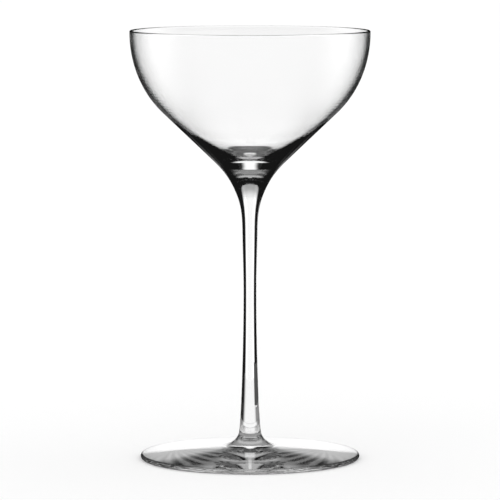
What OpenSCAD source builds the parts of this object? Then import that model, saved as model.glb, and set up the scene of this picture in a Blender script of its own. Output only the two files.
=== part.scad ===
// Stemmed cocktail glass: a wide, shallow bowl with a thick base, on a slim waisted stem and a round foot.
// Sizes are in mm. The glass stands on z = 0 and every piece is turned about the Z axis.
// The pieces are fused hot, face to face, so the two sides of each joint come from one domed seam.

/* [Overall] */
// Height from the table to the rim
glass_h = 170; // [150:1:200]
// Outer diameter at the rim
rim_d = 95; // [86:0.5:110]
// Diameter of the foot
foot_d = 87; // [70:0.5:100]

/* [Bowl] */
// Wall thickness at the rim
rim_wall = 1.1; // [0.8:0.1:2]
// Height of the rounded belly, from the rim down to the cone
belly_h = 32.5; // [28:0.5:36]
// Outer diameter where the belly runs into the cone
cone_d = 68.8; // [62:0.2:76]
// Angle of the cone's side to the axis
cone_angle = 46.4; // [42:0.2:52]
// Wall thickness at the top of the cone
cone_wall = 1.5; // [1:0.1:3]
// Outer diameter where the cone runs into the base
base_d = 29; // [24:0.1:33]
// Diameter where the hollow's side runs into its rounded bottom
hollow_d = 26.8; // [24:0.1:30]
// Wall thickness there
hollow_wall = 3.3; // [2.8:0.1:4.2]
// Angle of the hollow's side to the axis there
hollow_angle = 56; // [53:0.5:60]
// Depth of the hollow's rounded bottom below there
bottom_h = 1.5; // [0.8:0.1:3]
// Height of the bowl, from the rim down to its joint with the stem
bowl_h = 65.5; // [62:0.5:72]

/* [Stem] */
// Diameter at the joint with the bowl
neck_d = 10.1; // [8:0.1:12]
// Angle of the side to the axis at that joint
neck_angle = 21.1; // [14:0.1:28]
// Height of the neck, from that joint down to the shank
neck_h = 14; // [10:0.5:18]
// Diameter at the top of the shank
shank_d = 6; // [5.2:0.1:7.6]
// Diameter at the waist
waist_d = 5.1; // [4:0.1:5.6]
// Height of the waist, as a share of the stem's height
waist_share = 0.59; // [0.4:0.01:0.7]
// Diameter at the joint with the foot
heel_d = 9; // [7:0.1:11]
// Angle of the side to the axis at that joint
heel_angle = 16; // [8:0.5:24]

/* [Foot] */
// Height of the foot's raised middle, up to its joint with the stem
foot_h = 9.8; // [8:0.1:12]
// Diameter where the raised middle runs out into the disc
boss_d = 22; // [16:0.5:30]
// Thickness of the disc there
boss_t = 5.1; // [3.6:0.1:6]
// Thickness of the disc's rounded edge
edge_t = 2; // [1.6:0.1:3]
// Width of the flat ring that the glass stands on
rest_w = 6; // [3:0.5:12]
// Rise of the underside on the axis
kick_h = 0.2; // [0.1:0.1:1.2]

/* [Seams] */
// Depth of the domed seams between the pieces
seam_sag = 1.2; // [0.6:0.1:2]

/* [Hidden] */
$fn = 72;
// Straight steps in a bend, and in a small round such as the lip
bend_steps = 10;
round_steps = 6;
// How far a bend's handles reach, as a share of its span: this value keeps it close to an arc
handle = 0.35;
// Longer handles at the stem's neck and round the bottom of the hollow
base_handle = 0.4;
bottom_handle = 0.5;
// Shorter handle where the hollow's side turns into its bottom
turn_handle = 0.3;
// Shorter handle where the stem turns out just above the foot
heel_handle = 0.06;
glass_tint = [0.88, 0.93, 0.94, 0.4];

rim_r = rim_d / 2;
lip_r = rim_wall / 2;
lip_z = glass_h - lip_r;
cone_top = [cone_d / 2, glass_h - belly_h];
cone_end = cone_top - [1, 1 / tan(cone_angle)] * (cone_d - base_d) / 2;
inward = [-cos(cone_angle), sin(cone_angle)];
hollow_side = cone_top + cone_wall * inward;
hollow_start = cone_end + hollow_wall * inward;
hollow_low = hollow_start + [1, 1 / tan(cone_angle)] * (hollow_d / 2 - hollow_start.x);

neck = [neck_d / 2, glass_h - bowl_h];
hollow_end = [0, hollow_low.y - bottom_h];
heel = [heel_d / 2, foot_h];
shank = [shank_d / 2, neck.y - neck_h];
waist = [waist_d / 2, foot_h + waist_share * (neck.y - foot_h)];
shank_angle = 1;

edge_r = edge_t / 2;
edge_centre = [foot_d / 2 - edge_r, edge_r];
boss = [boss_d / 2, boss_t];
fall = atan2(boss_t - edge_t, edge_centre.x - boss.x);
rest_inner = [edge_centre.x - rest_w, 0];
kick_rise = 2 * atan2(kick_h, rest_inner.x);

// Step of length 1 along an outline: angle 0 goes down, 90 goes outward, 180 goes up
function heading(angle) = [sin(angle), -cos(angle)];

// Smooth bend from p to q, leaving and arriving at the given angles, without the point p itself
function bend(p, leave, q, arrive, reach = handle, first = handle) =
    let (span = norm(q - p))
    let (a = p + heading(leave) * span * first)
    let (b = q - heading(arrive) * span * reach)
    [for (i = [1 : bend_steps])
        let (t = i / bend_steps, u = 1 - t)
        u^3 * p + 3 * u^2 * t * a + 3 * u * t^2 * b + t^3 * q];

// Arc of radius r about a centre, from one angle to another, without its first point
function arc(centre, r, from, to) =
    [for (i = [1 : round_steps])
        let (angle = from + (to - from) * i / round_steps)
        centre + r * [cos(angle), sin(angle)]];

// Domed seam from the point p on the outline in to the axis, without p itself
function seam(p) =
    let (ball = (p.x^2 + seam_sag^2) / (2 * seam_sag))
    let (half = asin(p.x / ball))
    [for (i = [1 : round_steps])
        let (angle = half * (1 - i / round_steps))
        [ball * sin(angle), p.y - seam_sag + ball * (1 - cos(angle))]];

function reversed(points) = [for (i = [len(points) - 1 : -1 : 0]) points[i]];

// Solid of glass turned about the Z axis from half of its section
module turned(section) {
    color(glass_tint)
        rotate_extrude()
            polygon(section);
}

module bowl() {
    outside = concat(
        bend([rim_r, lip_z], 0, cone_top, -cone_angle),
        [cone_end],
        bend(cone_end, -cone_angle, neck, -neck_angle, base_handle)
    );
    hollow = concat(
        [hollow_end],
        bend(hollow_end, 90, hollow_low, 180 - hollow_angle, turn_handle, bottom_handle),
        bend(hollow_low, 180 - hollow_angle, hollow_side, 180 - cone_angle),
        bend(hollow_side, 180 - cone_angle, [rim_r - rim_wall, lip_z], 180)
    );
    lip = arc([rim_r - lip_r, lip_z], lip_r, 180, 0);
    turned(concat(outside, seam(neck), hollow, lip));
}

module stem() {
    side = concat(
        [neck],
        bend(neck, -neck_angle, shank, -shank_angle),
        bend(shank, -shank_angle, waist, 0),
        bend(waist, 0, heel, heel_angle, heel_handle)
    );
    turned(concat(side, seam(heel), reversed(seam(neck))));
}

module foot() {
    upper = concat(
        [heel],
        bend(heel, heel_angle, boss, 90 - fall)
    );
    edge = concat(
        [edge_centre + edge_r * [sin(fall), cos(fall)]],
        arc(edge_centre, edge_r, 90 - fall, -90)
    );
    underside = concat(
        [rest_inner],
        bend(rest_inner, -90 - kick_rise, [0, kick_h], -90)
    );
    turned(concat(upper, edge, underside, reversed(seam(heel))));
}

bowl();
stem();
foot();
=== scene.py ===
"""Clear stemmed cocktail glass: three turned pieces of glass, fused at domed seams, in a white studio."""

import math

import bpy
from bpy.props import FloatProperty, FloatVectorProperty, IntProperty, PointerProperty
from bpy.types import Operator, Panel, PropertyGroup
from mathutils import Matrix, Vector


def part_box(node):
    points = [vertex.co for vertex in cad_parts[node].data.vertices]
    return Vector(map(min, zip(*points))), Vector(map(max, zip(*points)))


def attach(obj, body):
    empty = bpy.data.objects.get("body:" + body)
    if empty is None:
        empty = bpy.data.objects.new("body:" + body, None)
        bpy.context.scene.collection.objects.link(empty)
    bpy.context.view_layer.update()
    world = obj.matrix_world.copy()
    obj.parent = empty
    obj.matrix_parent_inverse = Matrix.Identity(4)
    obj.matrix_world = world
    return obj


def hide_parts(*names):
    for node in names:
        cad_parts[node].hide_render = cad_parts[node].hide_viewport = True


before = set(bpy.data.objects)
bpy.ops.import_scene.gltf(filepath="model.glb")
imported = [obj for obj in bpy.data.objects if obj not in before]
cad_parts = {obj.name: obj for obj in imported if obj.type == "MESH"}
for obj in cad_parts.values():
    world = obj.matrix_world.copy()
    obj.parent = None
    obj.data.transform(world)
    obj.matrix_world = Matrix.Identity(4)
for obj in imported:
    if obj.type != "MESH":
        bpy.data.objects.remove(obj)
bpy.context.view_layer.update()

bl_info = {
    "name": "Stemmed Cocktail Glass",
    "version": (1, 0, 0),
    "blender": (4, 5, 0),
    "location": "View3D > Sidebar > Glass",
    "description": "Turns a clear stemmed glass from its section and sets it in a white studio",
    "category": "Add Mesh",
}

_, BOWL_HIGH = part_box("bowl")
_, STEM_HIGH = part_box("stem")
_, FOOT_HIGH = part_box("foot")

BODY = "root"
# How far a bend's handles reach, as a share of its span: this value keeps it close to an arc
HANDLE = 0.35
# Longer handles where the bowl leaves the neck and round the bottom of the hollow
BASE_HANDLE = 0.4
BOTTOM_HANDLE = 0.5
# Shorter handle where the hollow's side turns into its bottom
TURN_HANDLE = 0.3
# Points of a turned mesh closer than this are one, and edges bent by more than this stay crisp
WELD = 1e-7
CRISP = math.radians(30)
# Faint cords in the glass: their number in a metre, their darkest share of the tint, and their waves
CORD_SCALE = 45.0
CORD_TINT = 0.997
WAVE_STRENGTH = 0.1
WAVE_DEPTH = 0.0003
# Even light on the floor, and the floor's own white
EVEN = 1.05
PAPER = 0.97
# Light that the glass shows from the unlit parts of the studio
DIM = 0.008
# Light straight through the glass, from the floor and the world and from the card.
# It makes up for what the walls reflect.
CLEAR = 1.1
CARD_CLEAR = 1.12
# Lit sides of the studio: middle, half width and softness, in degrees from +Y towards +X
LIT_SIDES = ((-90, 26, 8), (135, 28, 8))
# Lit side where two low dark flags stand, which draw the stem's edge.
# Each flag has a name, a distance, a half width, a height and a light.
FLAG_SIDE = (-45, 18, 4)
FLAGS = (("flag_far", 0.21, 0.085, 0.05, DIM), ("flag_near", 0.1, 0.045, 0.021, 0.09))
# Air under the foot, which keeps the light inside it, as on a real table
AIR = 0.0001
# Light runs far inside the foot before it leaves it
BOUNCES = 40


def length(name, description, default):
    """A size in metres, shown in the user's unit."""
    return FloatProperty(
        name=name,
        description=description,
        default=default,
        min=0.0,
        precision=5,
        subtype="DISTANCE",
        unit="LENGTH",
    )


def angle(name, description, degrees):
    """An angle, written here in degrees."""
    return FloatProperty(
        name=name, description=description, default=math.radians(degrees), subtype="ANGLE", unit="ROTATION"
    )


class BowlSizes(PropertyGroup):
    """Section of the bowl, from the lip down to the seam with the stem."""

    rim_radius: length("Rim radius", "Outer radius at the rim", BOWL_HIGH.x)
    rim_height: length("Rim height", "Top of the lip above the table", BOWL_HIGH.z)
    rim_wall: length("Rim wall", "Wall thickness at the rim", 0.0011)
    belly_height: length("Belly height", "From the rim down to the cone", 0.0325)
    cone_radius: length("Cone radius", "Outer radius where the belly runs into the cone", 0.0344)
    cone_angle: angle("Cone angle", "Angle of the cone's side to the axis", 46.4)
    cone_wall: length("Cone wall", "Wall thickness at the top of the cone", 0.0015)
    base_radius: length("Base radius", "Outer radius where the cone runs into the base", 0.0145)
    hollow_radius: length("Hollow radius", "Radius where the hollow's side meets its rounded bottom", 0.0134)
    hollow_wall: length("Hollow wall", "Wall thickness there", 0.0033)
    hollow_angle: angle("Hollow angle", "Angle of the hollow's side to the axis there", 56)
    bottom_depth: length("Bottom depth", "Depth of the hollow's rounded bottom below there", 0.0015)


class StemSizes(PropertyGroup):
    """Section of the stem, from its seam with the bowl down to its seam with the foot."""

    neck_radius: length("Neck radius", "Radius at the seam with the bowl", STEM_HIGH.x)
    neck_height: length("Neck height", "Height of that seam above the table", STEM_HIGH.z)
    neck_angle: angle("Neck angle", "Angle of the side to the axis at that seam", 21.1)
    neck_length: length("Neck length", "From that seam down to the shank", 0.014)
    shank_radius: length("Shank radius", "Radius at the top of the shank", 0.003)
    shank_angle: angle("Shank angle", "Angle of the side to the axis there", 1.0)
    waist_radius: length("Waist radius", "Radius at the waist", 0.00255)
    waist_share: FloatProperty(
        name="Waist share", description="Height of the waist as a share of the stem's height", default=0.59
    )
    heel_radius: length("Heel radius", "Radius at the seam with the foot", 0.0045)
    heel_angle: angle("Heel angle", "Angle of the side to the axis at that seam", 16.0)
    heel_handle: FloatProperty(
        name="Heel handle",
        description="Reach of the bend just above the foot, as a share of its span",
        default=0.06,
    )
    seam_sag: length("Seam sag", "Depth of the domed seams between the pieces", 0.0012)


class FootSizes(PropertyGroup):
    """Section of the foot, from its seam with the stem out to its edge and under it."""

    foot_radius: length("Foot radius", "Outer radius of the disc", FOOT_HIGH.x)
    foot_height: length("Foot height", "Top of the raised middle above the table", FOOT_HIGH.z)
    boss_radius: length("Boss radius", "Radius where the raised middle runs out", 0.011)
    boss_thickness: length("Boss thickness", "Thickness of the disc there", 0.0051)
    edge_thickness: length("Edge thickness", "Thickness of the rounded edge", 0.002)
    rest_width: length("Rest width", "Width of the flat ring that the glass stands on", 0.006)
    kick_height: length("Kick height", "Rise of the underside on the axis", 0.0002)


class GlassFinish(PropertyGroup):
    """Looks of the glass and fineness of its meshes."""

    tint: FloatVectorProperty(
        name="Tint", description="Colour of light through the glass", subtype="COLOR", default=(1.0, 1.0, 1.0)
    )
    ior: FloatProperty(name="IOR", description="Refractive index of the glass", default=1.5)
    segments: IntProperty(name="Segments", description="Steps round the axis", default=360, min=12)
    rings: IntProperty(name="Rings", description="Steps along each stretch of the section", default=24, min=4)


class StudioSettings(PropertyGroup):
    """Camera, floor and light."""

    camera_place: FloatVectorProperty(
        name="Camera place",
        description="Where the camera stands",
        subtype="TRANSLATION",
        default=(0.0, -1.5, 0.2322),
    )
    camera_tilt: angle("Camera tilt", "How far the camera looks down", 5.68)
    lens: FloatProperty(name="Lens", description="Focal length in mm", default=274.0)
    floor_size: length("Floor size", "Side of the square floor", 12.0)


def heading(turn):
    """Step of length 1 along a section: 0 goes down, a quarter turn goes outward, a half turn goes up."""
    return Vector((math.sin(turn), -math.cos(turn)))


def bend(start, leave, end, arrive, reach=HANDLE, first=HANDLE):
    """Stretch from start to end that leaves and arrives at the given angles."""
    span = (end - start).length
    return [(start, start + heading(leave) * span * first, end - heading(arrive) * span * reach, end)]


def straight(start, end):
    """Straight stretch from start to end."""
    return [(start, start.lerp(end, 1 / 3), start.lerp(end, 2 / 3), end)]


def arc(centre, radius, begin, finish, parts=2):
    """Round stretches about a centre, from one angle to another."""
    step = (finish - begin) / parts
    reach = 4 / 3 * math.tan(step / 4) * radius
    stretches = []
    for i in range(parts):
        a, b = begin + step * i, begin + step * (i + 1)
        p = Vector((math.cos(a), math.sin(a)))
        q = Vector((math.cos(b), math.sin(b)))
        along_p, along_q = Vector((-p.y, p.x)) * reach, Vector((-q.y, q.x)) * reach
        p, q = centre + p * radius, centre + q * radius
        stretches.append((p, p + along_p, q - along_q, q))
    return stretches


def seam(outline, sag):
    """Domed stretch from the axis out to a point of the outline."""
    ball = (outline.x**2 + sag**2) / (2 * sag)
    half = math.asin(outline.x / ball)
    centre = Vector((0.0, outline.y - sag + ball))
    return arc(centre, ball, -math.pi / 2, -math.pi / 2 + half, parts=1)


def backwards(stretches):
    """The same stretches, followed from their end."""
    return [(d, c, b, a) for a, b, c, d in reversed(stretches)]


def bowl_section(bowl, stem):
    """Section of the bowl, from the seam's middle up the outside and down the hollow."""
    up = math.pi
    neck = Vector((stem.neck_radius, stem.neck_height))
    cone_top = Vector((bowl.cone_radius, bowl.rim_height - bowl.belly_height))
    cone_end = cone_top - Vector((1, 1 / math.tan(bowl.cone_angle))) * (bowl.cone_radius - bowl.base_radius)
    lip_radius = bowl.rim_wall / 2
    lip = Vector((bowl.rim_radius - lip_radius, bowl.rim_height - lip_radius))
    inward = Vector((-math.cos(bowl.cone_angle), math.sin(bowl.cone_angle)))
    side = cone_top + inward * bowl.cone_wall
    along = heading(math.pi - bowl.cone_angle)
    low = cone_end + inward * bowl.hollow_wall
    low += along * (bowl.hollow_radius - low.x) / along.x
    middle = Vector((0.0, low.y - bowl.bottom_depth))
    skin = (
        bend(neck, up - stem.neck_angle, cone_end, up - bowl.cone_angle, first=BASE_HANDLE)
        + straight(cone_end, cone_top)
        + bend(cone_top, up - bowl.cone_angle, lip + Vector((lip_radius, 0)), up)
        + arc(lip, lip_radius, 0.0, math.pi)
        + bend(lip - Vector((lip_radius, 0)), 0.0, side, -bowl.cone_angle)
        + bend(side, -bowl.cone_angle, low, -bowl.hollow_angle)
        + bend(low, -bowl.hollow_angle, middle, -math.pi / 2, BOTTOM_HANDLE, TURN_HANDLE)
    )
    return seam(neck, stem.seam_sag), skin, []


def stem_section(stem, foot):
    """Section of the stem, from the lower seam's middle up its side to the upper seam's middle."""
    up = math.pi
    neck = Vector((stem.neck_radius, stem.neck_height))
    shank = Vector((stem.shank_radius, stem.neck_height - stem.neck_length))
    heel = Vector((stem.heel_radius, foot.foot_height))
    waist = Vector((stem.waist_radius, heel.y + stem.waist_share * (neck.y - heel.y)))
    skin = (
        bend(heel, up + stem.heel_angle, waist, up, first=stem.heel_handle)
        + bend(waist, up, shank, up - stem.shank_angle)
        + bend(shank, up - stem.shank_angle, neck, up - stem.neck_angle)
    )
    return seam(heel, stem.seam_sag), skin, backwards(seam(neck, stem.seam_sag))


def foot_section(foot, stem):
    """Section of the foot, from the underside's middle out round the edge and up to the seam's middle."""
    quarter = math.pi / 2
    edge_radius = foot.edge_thickness / 2
    edge = Vector((foot.foot_radius - edge_radius, edge_radius))
    boss = Vector((foot.boss_radius, foot.boss_thickness))
    heel = Vector((stem.heel_radius, foot.foot_height))
    fall = math.atan2(boss.y - foot.edge_thickness, edge.x - boss.x)
    rest = Vector((edge.x - foot.rest_width, 0.0))
    kick = Vector((0.0, foot.kick_height))
    rise = 2 * math.atan2(kick.y, rest.x)
    top = edge + Vector((math.sin(fall), math.cos(fall))) * edge_radius
    skin = (
        bend(kick, quarter, rest, quarter - rise)
        + straight(rest, Vector((edge.x, 0.0)))
        + arc(edge, edge_radius, -quarter, quarter - fall)
        + straight(top, boss)
        + bend(boss, -quarter - fall, heel, math.pi + stem.heel_angle)
    )
    return [], skin, backwards(seam(heel, stem.seam_sag))


def section_curve(name, stretches, on_seam, rings):
    """Curve of the stretches in the XZ plane. Its radius is 0 on the knots of a seam and 1 on the skin."""
    data = bpy.data.curves.new(name, "CURVE")
    data.dimensions = "3D"
    spline = data.splines.new("BEZIER")
    spline.resolution_u = rings
    spline.bezier_points.add(len(stretches))
    for i, knot in enumerate(spline.bezier_points):
        knot.handle_left_type = knot.handle_right_type = "FREE"
        before = stretches[i - 1] if i else None
        after = stretches[i] if i < len(stretches) else None
        place = after[0] if after else before[3]
        left = before[2] if before else place
        right = after[1] if after else place
        knot.co = (place.x, 0.0, place.y)
        knot.handle_left = (left.x, 0.0, left.y)
        knot.handle_right = (right.x, 0.0, right.y)
        knot.radius = 0.0 if i in on_seam else 1.0
    section = bpy.data.objects.new(name, data)
    bpy.context.scene.collection.objects.link(section)
    return section


def link(tree, start, end):
    """Joins two sockets, each given as (node, socket name or index)."""
    tree.links.new(start[0].outputs[start[1]], end[0].inputs[end[1]])


def add(tree, kind, **settings):
    """New node with its settings."""
    made = tree.nodes.new(kind)
    for key, value in settings.items():
        setattr(made, key, value)
    return made


def compute(tree, operation, *values):
    """Math node on numbers or on (node, socket) pairs. Returns its output as such a pair."""
    made = add(tree, "ShaderNodeMath", operation=operation)
    for i, value in enumerate(values):
        if isinstance(value, tuple):
            link(tree, value, (made, i))
        else:
            made.inputs[i].default_value = value
    return made, 0


def turning_tree():
    """Geometry nodes that turn a section about the Z axis into a closed, smooth solid."""
    tree = bpy.data.node_groups.new("turned_glass", "GeometryNodeTree")
    face = tree.interface
    face.new_socket("Section", in_out="INPUT", socket_type="NodeSocketGeometry")
    face.new_socket("Segments", in_out="INPUT", socket_type="NodeSocketInt")
    face.new_socket("Glass", in_out="INPUT", socket_type="NodeSocketMaterial")
    face.new_socket("Seam", in_out="INPUT", socket_type="NodeSocketMaterial")
    face.new_socket("Solid", in_out="OUTPUT", socket_type="NodeSocketGeometry")
    given = add(tree, "NodeGroupInput")
    made = add(tree, "NodeGroupOutput")

    steps = add(tree, "GeometryNodeResampleCurve", mode="EVALUATED")
    link(tree, (given, "Section"), (steps, "Curve"))
    count = add(tree, "GeometryNodeAttributeDomainSize", component="CURVE")
    link(tree, (steps, "Curve"), (count, "Geometry"))
    rings = (count, "Point Count")

    grid = add(tree, "GeometryNodeMeshGrid")
    link(tree, rings, (grid, "Vertices X"))
    link(tree, compute(tree, "ADD", (given, "Segments"), 1.0), (grid, "Vertices Y"))
    place = add(tree, "GeometryNodeInputPosition")
    split = add(tree, "ShaderNodeSeparateXYZ")
    link(tree, (place, "Position"), (split, "Vector"))
    share = compute(tree, "ADD", (split, "X"), 0.5)
    ring = compute(tree, "ROUND", compute(tree, "MULTIPLY", share, compute(tree, "SUBTRACT", rings, 1.0)))
    turn = compute(tree, "MULTIPLY", compute(tree, "ADD", (split, "Y"), 0.5), math.tau)

    point = add(tree, "GeometryNodeSampleIndex", data_type="FLOAT_VECTOR", domain="POINT")
    link(tree, (steps, "Curve"), (point, "Geometry"))
    link(tree, (place, "Position"), (point, "Value"))
    link(tree, ring, (point, "Index"))
    on_skin = add(tree, "GeometryNodeSampleIndex", data_type="FLOAT", domain="POINT")
    radius = add(tree, "GeometryNodeInputRadius")
    link(tree, (steps, "Curve"), (on_skin, "Geometry"))
    link(tree, (radius, "Radius"), (on_skin, "Value"))
    link(tree, ring, (on_skin, "Index"))

    section = add(tree, "ShaderNodeSeparateXYZ")
    link(tree, (point, "Value"), (section, "Vector"))
    around = add(tree, "ShaderNodeCombineXYZ")
    link(tree, compute(tree, "MULTIPLY", (section, "X"), compute(tree, "COSINE", turn)), (around, "X"))
    link(tree, compute(tree, "MULTIPLY", (section, "X"), compute(tree, "SINE", turn)), (around, "Y"))
    link(tree, (section, "Z"), (around, "Z"))
    kept = add(tree, "GeometryNodeStoreNamedAttribute", data_type="FLOAT", domain="POINT")
    kept.inputs["Name"].default_value = "skin"
    link(tree, (grid, "Mesh"), (kept, "Geometry"))
    link(tree, (on_skin, "Value"), (kept, "Value"))
    turned = add(tree, "GeometryNodeSetPosition")
    link(tree, (kept, "Geometry"), (turned, "Geometry"))
    link(tree, (around, "Vector"), (turned, "Position"))

    closed = add(tree, "GeometryNodeMergeByDistance")
    closed.inputs["Distance"].default_value = WELD
    link(tree, (turned, "Geometry"), (closed, "Geometry"))
    outward = add(tree, "GeometryNodeFlipFaces")
    link(tree, (closed, "Geometry"), (outward, "Mesh"))
    crease = add(tree, "GeometryNodeInputMeshEdgeAngle")
    crisp = add(tree, "GeometryNodeSetShadeSmooth", domain="EDGE")
    link(tree, (outward, "Mesh"), (crisp, "Geometry"))
    sharp = compute(tree, "GREATER_THAN", (crease, "Unsigned Angle"), CRISP)
    link(tree, sharp, (crisp, "Selection"))
    crisp.inputs["Shade Smooth"].default_value = False

    real = add(tree, "GeometryNodeRealizeInstances")
    link(tree, (crisp, "Geometry"), (real, "Geometry"))
    skin = add(tree, "GeometryNodeInputNamedAttribute", data_type="FLOAT")
    skin.inputs["Name"].default_value = "skin"
    glass = add(tree, "GeometryNodeSetMaterial")
    link(tree, (real, "Geometry"), (glass, "Geometry"))
    link(tree, (given, "Glass"), (glass, "Material"))
    inner = add(tree, "GeometryNodeSetMaterial")
    link(tree, (glass, "Geometry"), (inner, "Geometry"))
    link(tree, compute(tree, "LESS_THAN", (skin, "Attribute"), 1e-6), (inner, "Selection"))
    link(tree, (given, "Seam"), (inner, "Material"))
    link(tree, (inner, "Geometry"), (made, "Solid"))
    return tree


def turned_piece(name, node, section, finish):
    """Turns a section into a piece of glass that stands for a CAD node."""
    below, skin, above = section
    stretches = below + skin + above
    on_seam = set(range(len(below) + 1)) if below else set()
    if above:
        on_seam |= set(range(len(below) + len(skin), len(stretches) + 1))
    curve = section_curve(name + "_section", stretches, on_seam, finish.rings)
    tree = bpy.data.node_groups.get("turned_glass") or turning_tree()
    lathe = curve.modifiers.new("lathe", "NODES")
    lathe.node_group = tree
    sockets = {s.name: s.identifier for s in tree.interface.items_tree if s.in_out == "INPUT"}
    lathe[sockets["Segments"]] = finish.segments
    lathe[sockets["Glass"]] = glass_material(finish)
    lathe[sockets["Seam"]] = seam_material()
    solid = bpy.data.meshes.new_from_object(curve.evaluated_get(bpy.context.evaluated_depsgraph_get()))
    solid.name = name
    bpy.data.objects.remove(curve)
    piece = bpy.data.objects.new(name, solid)
    bpy.context.scene.collection.objects.link(piece)
    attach(piece, BODY)
    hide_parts(node)


def glass_material(finish):
    """Clear polished glass with very faint cords."""
    made = bpy.data.materials.get("clear_glass_skin")
    if made:
        return made
    made = bpy.data.materials.new("clear_glass_skin")
    made.use_nodes = True
    tree = made.node_tree
    shader = tree.nodes["Principled BSDF"]
    coordinate = add(tree, "ShaderNodeTexCoord")
    cords = add(tree, "ShaderNodeTexNoise")
    cords.inputs["Scale"].default_value = CORD_SCALE
    cords.inputs["Detail"].default_value = 1.0
    link(tree, (coordinate, "Object"), (cords, "Vector"))
    shade = add(tree, "ShaderNodeValToRGB")
    for stop, share in zip(shade.color_ramp.elements, (1.0, CORD_TINT)):
        stop.color = (*(part * share for part in finish.tint), 1.0)
    link(tree, (cords, 0), (shade, "Fac"))
    link(tree, (shade, "Color"), (shader, "Base Color"))
    waves = add(tree, "ShaderNodeBump")
    waves.inputs["Strength"].default_value = WAVE_STRENGTH
    waves.inputs["Distance"].default_value = WAVE_DEPTH
    link(tree, (cords, 0), (waves, "Height"))
    link(tree, (waves, "Normal"), (shader, "Normal"))
    shader.inputs["Roughness"].default_value = 0.0
    shader.inputs["IOR"].default_value = finish.ior
    shader.inputs["Transmission Weight"].default_value = 1.0
    return made


def seam_material():
    """Fused seam inside the glass: light goes straight through it."""
    made = bpy.data.materials.get("fused_seam")
    if made:
        return made
    made = bpy.data.materials.new("fused_seam")
    made.use_nodes = True
    tree = made.node_tree
    tree.nodes.remove(tree.nodes["Principled BSDF"])
    clear = add(tree, "ShaderNodeBsdfTransparent")
    link(tree, (clear, "BSDF"), (tree.nodes["Material Output"], "Surface"))
    return made


def ramp(tree, value, dark, bright):
    """Soft step of a value: 0 at dark and 1 at bright."""
    step = add(tree, "ShaderNodeMapRange", interpolation_type="SMOOTHSTEP")
    link(tree, value, (step, "Value"))
    step.inputs["From Min"].default_value = dark
    step.inputs["From Max"].default_value = bright
    return step, 0


def sector(tree, azimuth, centre, half, soft):
    """1 within a sector about the glass, and 0 past its soft sides, in degrees from +Y towards +X."""
    turned = compute(tree, "SUBTRACT", azimuth, math.radians(centre))
    off = compute(tree, "ABSOLUTE", compute(tree, "WRAP", turned, math.pi, -math.pi))
    return ramp(tree, off, math.radians(half + soft), math.radians(half - soft))


def ring(tree, distance, inner, outer, soft):
    """1 between two distances from the glass, and 0 past their soft sides."""
    inside = ramp(tree, distance, inner - soft, inner + soft)
    return compute(tree, "MULTIPLY", inside, ramp(tree, distance, outer + soft, outer - soft))


def product(tree, *values):
    """Some values multiplied."""
    result = values[0]
    for other in values[1:]:
        result = compute(tree, "MULTIPLY", result, other)
    return result


def without(tree, value):
    """What a value leaves of 1."""
    return compute(tree, "SUBTRACT", 1.0, value)


def brightest(tree, lights):
    """The brightest of some lights."""
    light = lights[0]
    for other in lights[1:]:
        light = compute(tree, "MAXIMUM", light, other)
    return light


def ray_kinds(tree):
    """Two values: 1 for a ray from the camera, and 1 for a ray that the glass mirrored or bent."""
    path = add(tree, "ShaderNodeLightPath")
    bent = compute(tree, "MAXIMUM", (path, "Is Glossy Ray"), (path, "Is Transmission Ray"))
    return (path, "Is Camera Ray"), bent


def ray_turns(tree):
    """Three values, 1 for a ray never mirrored, mirrored off the outside, or past at most one wall."""
    path = add(tree, "ShaderNodeLightPath")
    straight = compute(tree, "LESS_THAN", (path, "Glossy Depth"), 0.5)
    outside = compute(tree, "LESS_THAN", (path, "Ray Depth"), 1.5)
    return straight, outside, compute(tree, "LESS_THAN", (path, "Ray Depth"), 3.5)


def studio_world():
    """White to the camera, even light to the floor, and dim to the glass."""
    world = bpy.data.worlds.new("studio")
    world.use_nodes = True
    tree = world.node_tree
    tree.nodes.clear()
    seen, bent = ray_kinds(tree)
    even = add(tree, "ShaderNodeBackground")
    white = add(tree, "ShaderNodeBackground")
    shown = add(tree, "ShaderNodeBackground")
    for background in (even, white, shown):
        background.inputs["Color"].default_value = (1.0, 1.0, 1.0, 1.0)
    even.inputs["Strength"].default_value = EVEN
    coordinate = add(tree, "ShaderNodeTexCoord")
    split = add(tree, "ShaderNodeSeparateXYZ")
    link(tree, (coordinate, "Generated"), (split, "Vector"))
    azimuth = compute(tree, "ARCTAN2", (split, "X"), (split, "Y"))
    sides = [sector(tree, azimuth, *side) for side in LIT_SIDES]
    straight, outside, single = ray_turns(tree)
    below = ramp(tree, (split, "Z"), 0.6, 0.4)
    once = product(tree, single, without(tree, straight), without(tree, outside), below)
    kind = compute(tree, "MAXIMUM", product(tree, straight, CLEAR), product(tree, once, 0.6))
    light = product(tree, brightest(tree, sides), kind)
    link(tree, compute(tree, "MAXIMUM", light, DIM), (shown, "Strength"))
    by_bent = add(tree, "ShaderNodeMixShader")
    by_seen = add(tree, "ShaderNodeMixShader")
    link(tree, bent, (by_bent, "Fac"))
    link(tree, (even, 0), (by_bent, 1))
    link(tree, (shown, 0), (by_bent, 2))
    link(tree, seen, (by_seen, "Fac"))
    link(tree, (by_bent, 0), (by_seen, 1))
    link(tree, (white, 0), (by_seen, 2))
    out = add(tree, "ShaderNodeOutputWorld")
    link(tree, (by_seen, 0), (out, "Surface"))
    bpy.context.scene.world = world


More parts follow.
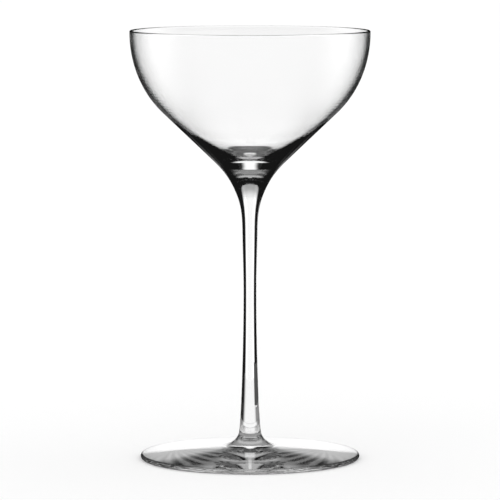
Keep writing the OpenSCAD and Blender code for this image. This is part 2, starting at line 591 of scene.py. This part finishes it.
def floor_material():
    """Pale floor that keeps the glass's shadow. To the glass it glows with painted light instead: white close
    by and in the lit sectors, dim elsewhere.
    """
    made = bpy.data.materials.new("pale_floor_painted_glow")
    made.use_nodes = True
    tree = made.node_tree
    tree.nodes.clear()
    bent = ray_kinds(tree)[1]
    coordinate = add(tree, "ShaderNodeTexCoord")
    split = add(tree, "ShaderNodeSeparateXYZ")
    link(tree, (coordinate, "Object"), (split, "Vector"))
    azimuth = compute(tree, "ARCTAN2", (split, "X"), (split, "Y"))
    distance = add(tree, "ShaderNodeVectorMath", operation="LENGTH")
    link(tree, (coordinate, "Object"), (distance, 0))
    away = (distance, "Value")
    straight, outside, single = ray_turns(tree)
    double, inside = without(tree, single), without(tree, outside)

    # Painted glow close by: under the foot, a strip round it that is brightest at the back, and the ground up
    # to the card
    under = compute(tree, "MULTIPLY_ADD", straight, 0.6, 0.3)
    behind = compute(tree, "MAXIMUM", sector(tree, azimuth, 0, 32, 12), 0.27)
    lights = [
        product(tree, ramp(tree, away, 0.0465, 0.04), under, inside),
        product(tree, ring(tree, away, 0.046, 0.063, 0.003), behind, inside),
        product(tree, sector(tree, azimuth, 0, 26, 9), ring(tree, away, 0.06, 0.2, 0.004), single),
    ]

    # Painted glow further out, straight through the glass: the flags' side, a wide ring past two walls, and
    # the lit sides
    flagged = sector(tree, azimuth, *FLAG_SIDE)
    sides = [
        product(tree, flagged, ring(tree, away, 0.06, 0.1, 0.01), single, 0.25),
        product(tree, flagged, ring(tree, away, 0.1, 0.6, 0.002), single),
        product(tree, ring(tree, away, 0.14, 0.6, 0.02), double),
    ]
    for side in LIT_SIDES:
        sides.append(product(tree, sector(tree, azimuth, *side), ring(tree, away, 0.07, 9.0, 0.02)))
    lights.append(product(tree, brightest(tree, sides), straight, CLEAR))

    # Rays from the camera see the lit paper. Rays that the glass mirrors or bends see the painted glow.
    paper = add(tree, "ShaderNodeBsdfDiffuse")
    paper.inputs["Color"].default_value = (PAPER, PAPER, PAPER, 1.0)
    glow = add(tree, "ShaderNodeEmission")
    link(tree, compute(tree, "MAXIMUM", brightest(tree, lights), DIM), (glow, "Strength"))
    mixed = add(tree, "ShaderNodeMixShader")
    link(tree, bent, (mixed, "Fac"))
    link(tree, (paper, 0), (mixed, 1))
    link(tree, (glow, 0), (mixed, 2))
    out = add(tree, "ShaderNodeOutputMaterial")
    link(tree, (mixed, 0), (out, "Surface"))
    made.cycles.emission_sampling = "NONE"
    return made


def card_material():
    """Glowing card behind the glass, by its own X and Y, with soft sides and a soft top."""
    made = bpy.data.materials.new("backdrop_light")
    made.use_nodes = True
    tree = made.node_tree
    tree.nodes.clear()
    coordinate = add(tree, "ShaderNodeTexCoord")
    split = add(tree, "ShaderNodeSeparateXYZ")
    link(tree, (coordinate, "Object"), (split, "Vector"))
    off, height = compute(tree, "ABSOLUTE", (split, "X")), (split, "Y")
    straight, outside, single = ray_turns(tree)
    fade = compute(tree, "MULTIPLY_ADD", ramp(tree, height, 0.212, 0.15), 0.58, 0.42)

    # Straight through: brighter at the sides and low down, where the walls reflect more
    bright = compute(tree, "MULTIPLY_ADD", ramp(tree, off, 0.03, 0.052), 0.22, 1.0)
    bright = product(tree, bright, ramp(tree, off, 0.1, 0.068))
    thin = compute(tree, "MAXIMUM", fade, ramp(tree, height, 0.28, 0.22))
    lift = compute(tree, "MULTIPLY_ADD", ramp(tree, off, 0.004, 0.022), 0.07, 0.03)
    low = compute(tree, "MULTIPLY_ADD", ramp(tree, height, 0.135, 0.105), lift, 1.0)
    one_wall = product(tree, fade, single, 0.93)
    two_walls = product(tree, thin, low, without(tree, single))
    clear = product(tree, bright, compute(tree, "MAXIMUM", one_wall, two_walls), straight)

    # Mirrored: narrower, and dark high up off the outside and to the sides of one wall
    high = ramp(tree, height, 0.05, 0.07)
    off_outside = product(tree, outside, high)
    off_side = product(tree, single, high, ramp(tree, off, 0.01, 0.03))
    share = compute(tree, "MULTIPLY_ADD", single, 0.5, 0.5)
    mirrored = product(tree, ramp(tree, off, 0.09, 0.04), fade, share, without(tree, straight))
    mirrored = product(tree, mirrored, without(tree, off_outside), without(tree, off_side))

    either = compute(tree, "MAXIMUM", clear, mirrored)
    light = product(tree, either, ramp(tree, height, 0.55, 0.45), CARD_CLEAR)
    glow = add(tree, "ShaderNodeEmission")
    link(tree, compute(tree, "MAXIMUM", light, DIM), (glow, "Strength"))
    out = add(tree, "ShaderNodeOutputMaterial")
    link(tree, (glow, 0), (out, "Surface"))
    made.cycles.emission_sampling = "NONE"
    return made


def flag_material(name, light):
    """Dark flag, which only light that goes straight through one wall or a solid meets."""
    made = bpy.data.materials.new(name)
    made.use_nodes = True
    tree = made.node_tree
    tree.nodes.clear()
    straight, _, single = ray_turns(tree)
    clear = add(tree, "ShaderNodeBsdfTransparent")
    glow = add(tree, "ShaderNodeEmission")
    glow.inputs["Strength"].default_value = light
    mixed = add(tree, "ShaderNodeMixShader")
    link(tree, product(tree, straight, single), (mixed, "Fac"))
    link(tree, (clear, 0), (mixed, 1))
    link(tree, (glow, 0), (mixed, 2))
    out = add(tree, "ShaderNodeOutputMaterial")
    link(tree, (mixed, 0), (out, "Surface"))
    made.cycles.emission_sampling = "NONE"
    return made


def light_card(name, low, high, place, turn, material):
    """Flat card that only the glass shows."""
    plane = bpy.data.meshes.new(name)
    corners = [(low[0], low[1], 0), (high[0], low[1], 0), (high[0], high[1], 0), (low[0], high[1], 0)]
    plane.from_pydata(corners, [], [(0, 1, 2, 3)])
    plane.materials.append(material)
    card = bpy.data.objects.new(name, plane)
    card.location = place
    card.rotation_euler = turn
    card.visible_camera = card.visible_diffuse = card.visible_shadow = False
    bpy.context.scene.collection.objects.link(card)


class GLASS_OT_bowl(Operator):
    """Turn the bowl with its hollow and lip"""

    bl_idname = "glass.bowl"
    bl_label = "Bowl"

    def execute(self, context):
        scene = context.scene
        section = bowl_section(scene.glass_bowl, scene.glass_stem)
        turned_piece("bowl_glass", "bowl", section, scene.glass_finish)
        return {"FINISHED"}


class GLASS_OT_stem(Operator):
    """Turn the solid waisted stem"""

    bl_idname = "glass.stem"
    bl_label = "Stem"

    def execute(self, context):
        scene = context.scene
        section = stem_section(scene.glass_stem, scene.glass_foot)
        turned_piece("stem_glass", "stem", section, scene.glass_finish)
        return {"FINISHED"}


class GLASS_OT_foot(Operator):
    """Turn the round foot with its raised middle"""

    bl_idname = "glass.foot"
    bl_label = "Foot"

    def execute(self, context):
        scene = context.scene
        section = foot_section(scene.glass_foot, scene.glass_stem)
        turned_piece("foot_glass", "foot", section, scene.glass_finish)
        return {"FINISHED"}


class GLASS_OT_studio(Operator):
    """Set the camera, the floor and the light"""

    bl_idname = "glass.studio"
    bl_label = "Studio"

    def execute(self, context):
        scene = context.scene
        studio = scene.glass_studio
        lens = bpy.data.cameras.new("camera")
        lens.lens = studio.lens
        camera = bpy.data.objects.new("camera", lens)
        camera.location = studio.camera_place
        camera.rotation_euler = (math.pi / 2 - studio.camera_tilt, 0.0, 0.0)
        scene.collection.objects.link(camera)
        scene.camera = camera

        half = studio.floor_size / 2
        plane = bpy.data.meshes.new("floor")
        corners = [(-half, -half, -AIR), (half, -half, -AIR), (half, half, -AIR), (-half, half, -AIR)]
        plane.from_pydata(corners, [], [(0, 1, 2, 3)])
        plane.materials.append(floor_material())
        floor = bpy.data.objects.new("floor", plane)
        scene.collection.objects.link(floor)

        upright = math.pi / 2
        behind = (0.0, 0.18, 0.0)
        light_card("backdrop_card", (-0.1, 0.0), (0.1, 0.6), behind, (upright, 0.0, 0.0), card_material())
        aside = math.radians(FLAG_SIDE[0])
        for name, away, wide, height, light in FLAGS:
            place = (away * math.sin(aside), away * math.cos(aside), 0.0)
            turn = (upright, 0.0, -aside)
            light_card(name, (-wide, 0.0), (wide, height), place, turn, flag_material(name, light))
        studio_world()
        scene.view_settings.view_transform = "Standard"
        cycles = scene.cycles
        cycles.max_bounces = cycles.transmission_bounces = cycles.glossy_bounces = BOUNCES
        return {"FINISHED"}


class GLASS_PT_panel(Panel):
    """Lists the pieces of the glass and their sizes"""

    bl_label = "Stemmed Glass"
    bl_idname = "GLASS_PT_panel"
    bl_space_type = "VIEW_3D"
    bl_region_type = "UI"
    bl_category = "Glass"

    def draw(self, context):
        for kind in STEPS:
            self.layout.operator(kind.bl_idname)
        for group in GROUPS:
            box = self.layout.box()
            for key in GROUPS[group].__annotations__:
                box.prop(getattr(context.scene, group), key)


GROUPS = {
    "glass_bowl": BowlSizes,
    "glass_stem": StemSizes,
    "glass_foot": FootSizes,
    "glass_finish": GlassFinish,
    "glass_studio": StudioSettings,
}
STEPS = (GLASS_OT_studio, GLASS_OT_bowl, GLASS_OT_stem, GLASS_OT_foot)


def register():
    """Adds the classes, and the groups of sizes to the scene."""
    for kind in (*GROUPS.values(), *STEPS, GLASS_PT_panel):
        bpy.utils.register_class(kind)
    for name, kind in GROUPS.items():
        setattr(bpy.types.Scene, name, PointerProperty(type=kind))


def unregister():
    """Takes them away again."""
    for name in GROUPS:
        delattr(bpy.types.Scene, name)
    for kind in reversed((*GROUPS.values(), *STEPS, GLASS_PT_panel)):
        bpy.utils.unregister_class(kind)


def main():
    """Builds the glass."""
    register()
    bpy.ops.glass.studio()
    bpy.ops.glass.bowl()
    bpy.ops.glass.stem()
    bpy.ops.glass.foot()


if __name__ == "__main__":
    main()
